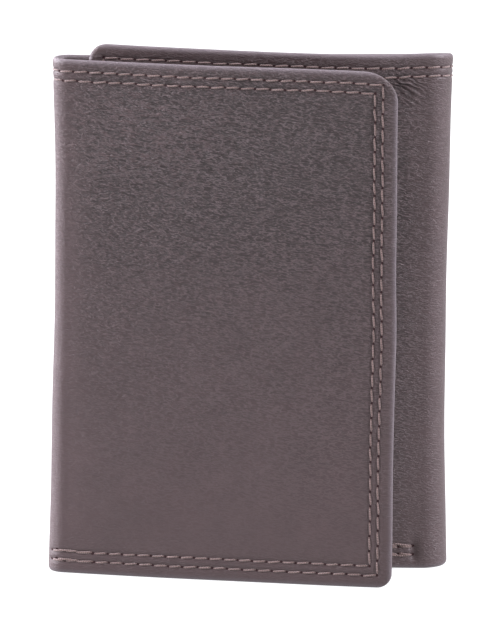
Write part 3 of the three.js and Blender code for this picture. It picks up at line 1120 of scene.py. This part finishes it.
def window():
    """The clear ID window on the inside of the front flap, in its leather frame."""
    box = (2.8, U_FRONT - 13, POCKET_BOTTOM, WINDOW_TOP)
    middle = (box[0] + box[1]) / 2
    opening = (middle - WINDOW_WIDTH / 2, middle + WINDOW_WIDTH / 2, 12.0, 84.0)
    section = frame_section(*FRAME_DEPTHS, rim=0.15)
    frame_piece = frame_plate("id_window_frame_leather", box, opening, (0.8, 2.0), section)
    follow(paint(frame_piece, PANEL), "front_flap")
    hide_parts("id_window_frame")
    film_box = (box[0] + FILM_INSET, box[1] + 2.0, box[2] + FILM_INSET, box[3] - FILM_INSET)
    near, far = FILM_DEPTHS
    flat_panel("id_window_clear_film", film_box, level(near), far - near, FILM,
               "front_flap", "id_window_film", radius=0.8, rim=0.05)
    rows = box_rows(opening, -TOP_SEAM_INSET) + box_rows(box, SEAM_INSET)
    inner_seam("id_window_stitches", rows, level(FRAME_DEPTHS[1]), "front_flap")


def inner_panel(name, box, depths, body, node):
    near, far = depths
    return flat_panel(name, box, level(near), far - near, PANEL, body, node)


def rear_interior():
    """The bill compartment's wall: cloth towards the notes, leather towards the cards."""
    low, high = U_REAR + 2, U_RIGHT - 0.6
    near, far = DIVIDER_DEPTHS
    box = (low, high, PANEL_INSET, REAR_PANEL_TOP)
    divider = flat_panel("bill_divider_cloth", box, level(near), far - near, CLOTH,
                         "rear_panel", "bill_divider", rim=CLOTH_RIM)
    box = (U_REAR + REAR_PANEL_START, high, PANEL_INSET, REAR_PANEL_TOP)
    inner_panel("rear_inner_leather", box, REAR_PANEL_DEPTHS, "rear_panel", "rear_inner_panel")
    seam_z = REAR_PANEL_TOP - 1.5
    seam = [((U_REAR + 4.5, seam_z), (U_RIGHT - 2, seam_z))]
    inner_seam("rear_inner_stitches", seam, level(REAR_PANEL_DEPTHS[1]), "rear_panel")
    card_pockets("rear", U_REAR + 11, U_RIGHT - 3, 2.6, "rear_panel")


def inner_flap_interior():
    box = (U_INNER + 2, U_END - PANEL_EDGE, PANEL_INSET, HEIGHT - PANEL_INSET)
    inner_panel("inner_flap_inner_leather", box, PANEL_DEPTHS, "inner_flap", "inner_flap_panel")
    card_pockets("inner_flap", U_INNER + 4, U_END - 6.5, 2.15, "inner_flap")


def front_interior():
    box = (PANEL_EDGE, U_FRONT - FRONT_PANEL_GAP, PANEL_INSET, HEIGHT - PANEL_INSET)
    inner_panel("front_inner_leather", box, PANEL_DEPTHS, "front_flap", "front_inner_panel")
    window()


outer_leather()
outer_stitching()
inside_stitching()
linings()
rear_interior()
inner_flap_interior()
front_interior()

# Studio

AZIMUTH, ELEVATION, ROLL = math.radians(-10.26), math.radians(11.23), math.radians(0.618)
DISTANCE = 3.0
TARGET = Vector((0, 0, 0.054))
PICTURE_WIDTH = 0.1031779  # what the picture spans at the target
SENSOR_WIDTH = 36.0
CAMERA_SHIFT = (-0.0017416, 0.0009286)  # how far the camera stands off the target, right and up


def camera():
    """Looks at the wallet through a long lens, from a little to its left and above."""
    data = bpy.data.cameras.new("camera")
    data.sensor_fit = "HORIZONTAL"
    data.sensor_width = SENSOR_WIDTH
    data.lens = DISTANCE * SENSOR_WIDTH / PICTURE_WIDTH
    data.clip_start, data.clip_end = 0.1, 20
    obj = add("camera", data)
    upright = Euler((math.pi / 2 - ELEVATION, 0, AZIMUTH)).to_matrix()
    turned = upright @ Matrix.Rotation(ROLL, 3, "Z")
    position = TARGET + turned @ Vector((*CAMERA_SHIFT, DISTANCE))
    obj.matrix_world = Matrix.Translation(position) @ turned.to_4x4()
    bpy.context.scene.camera = obj


def area_light(name, position, target, size, power, colour):
    data = bpy.data.lights.new(name, "AREA")
    data.shape, data.energy, data.color = "RECTANGLE", power, colour
    data.size, data.size_y = size
    obj = add(name, data)
    obj.location = position
    obj.rotation_euler = (Vector(target) - Vector(position)).to_track_quat("-Z", "Y").to_euler()


def backdrop():
    """A white surround, dim in front of the wallet and bright behind it."""
    world = bpy.data.worlds.new("studio")
    world.use_nodes = True
    bpy.context.scene.world = world
    tree = world.node_tree
    background = tree.nodes["Background"]
    background.inputs["Color"].default_value = (1, 1, 1, 1)
    way = tree.nodes.new("ShaderNodeTexCoord")
    split = tree.nodes.new("ShaderNodeSeparateXYZ")
    fade = tree.nodes.new("ShaderNodeMapRange")
    tree.links.new(way.outputs["Generated"], split.inputs[0])
    tree.links.new(split.outputs[1], fade.inputs["Value"])
    tree.links.new(fade.outputs[0], background.inputs["Strength"])
    for key, value in {"From Min": -0.6, "From Max": 0.3, "To Min": 0.12, "To Max": 1.0}.items():
        fade.inputs[key].default_value = value


def lights():
    """A soft light in front, one above, and a large bright panel on each side."""
    low, waist = (0, 0, 0.05), (0, 0, 0.07)
    area_light("key", (-0.15, -0.9, 1.1), low, (0.6, 0.4), 6.2, (1.0, 0.97, 0.965))
    area_light("overhead", (0.0, 0.15, 0.85), low, (1.0, 0.7), 5.8, (0.98, 0.98, 1.05))
    area_light("left_wall", (-0.85, 0.3, 0.45), waist, (1.4, 0.7), 43.0, (1.0, 0.96, 1.04))
    area_light("right_wall", (0.9, -0.25, 0.6), waist, (0.8, 0.7), 22.5, (1.0, 0.96, 1.04))


def light_table():
    """The pale floor, lit from below."""
    half = 1.5
    corners = [(-half, -half, 0), (half, -half, 0), (half, half, 0), (-half, half, 0)]
    floor = make("floor", corners, [(0, 1, 2, 3)], smooth=False)
    g = Graph("light_table")
    spot = g.node("NewGeometry").outputs["Position"]
    colour = g.mix_colour(g.noise(spot, 40.0), (0.12, 0.12, 0.12, 1), (0.14, 0.14, 0.14, 1))
    g.set(Base_Color=colour, Roughness=0.9, Specular_IOR_Level=0.1)
    floor.data.materials.append(g.set(Emission_Color=(0.99, 1.0, 1.01, 1), Emission_Strength=0.95))


camera()
backdrop()
lights()
light_table()
bpy.context.scene.view_settings.view_transform = "Standard"
